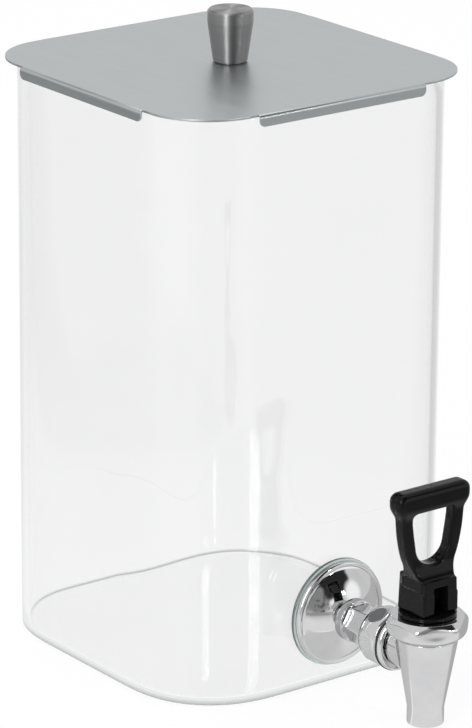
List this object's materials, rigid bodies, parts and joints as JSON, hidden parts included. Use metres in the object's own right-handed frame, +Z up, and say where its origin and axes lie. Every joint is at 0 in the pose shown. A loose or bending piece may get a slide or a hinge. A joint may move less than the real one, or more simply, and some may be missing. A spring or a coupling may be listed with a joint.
{
  "type": "juice dispenser",
  "caption": "Clear square drink vessel with rounded corners, a lift-off steel lid with a knob, and a chromed lever tap with a sprung valve on its front wall.",
  "frame": {"origin": "middle of the vessel's underside, on the surface that it stands on", "axes": "+Z up, the tap and its spout face -Y, +X to the right as seen from the front"},
  "size_m": [0.1734, 0.2598, 0.3109],
  "materials": {
    "clear_vessel": "clear, polished",
    "lid_steel": "fine brushed stainless steel",
    "knob_steel": "turned stainless steel",
    "fastener_steel": "plain stainless steel",
    "tap_chrome": "polished chrome plate",
    "clear_gasket": "clear soft gasket, faintly green",
    "soft_seal": "matt silicone",
    "dark_seal": "black rubber",
    "bush_plastic": "white moulded plastic",
    "handle_black": "gloss black moulded plastic"
  },
  "bodies": {
    "dispenser": {"vessel": "clear_vessel", "outer_gasket": "clear_gasket", "escutcheon": "tap_chrome", "shank": "tap_chrome", "inner_gasket": "clear_gasket", "inner_washer": "fastener_steel", "lock_nut": "tap_chrome", "coupling_nut": "tap_chrome", "coupling_seal": "dark_seal", "tap_body": "tap_chrome", "bonnet_nut": "tap_chrome", "bonnet_seal": "soft_seal", "stem_bush": "bush_plastic", "stem_seal": "dark_seal", "stem_spring": "fastener_steel"},
    "lid": {"lid_plate": "lid_steel", "lid_knob": "knob_steel", "knob_washer": "fastener_steel", "knob_screw": "fastener_steel"},
    "swivel_ring": {"handle_ring": "handle_black"},
    "valve_stem": {"stem": "handle_black", "seat_cup": "soft_seal"},
    "lever": {"handle": "handle_black", "handle_pin": "fastener_steel"}
  },
  "joints": [
    {"name": "lid_lift", "type": "slide", "parent": "dispenser", "child": "lid", "axis": [0, 0, 1], "range_m": [0, 0.12]},
    {"name": "handle_swivel", "type": "hinge", "parent": "dispenser", "child": "swivel_ring", "pos_m": [0, -0.153, 0.0561], "axis": [0, 0, 1], "continuous": true},
    {"name": "stem_lift", "type": "slide", "parent": "swivel_ring", "child": "valve_stem", "axis": [0, 0, 1], "range_m": [0, 0.0028], "deforming": ["stem_spring"]},
    {"name": "handle_tilt", "type": "hinge", "parent": "valve_stem", "child": "lever", "pos_m": [0, -0.153, 0.06525], "axis": [1, 0, 0], "range_deg": [0, 25], "stiffness_Nm_per_rad": 0.041, "springref_deg": -44.69}
  ],
  "couplings": [
    {"joint": "stem_lift", "follows": "handle_tilt", "m_per_rad": 0.0064}
  ]
}
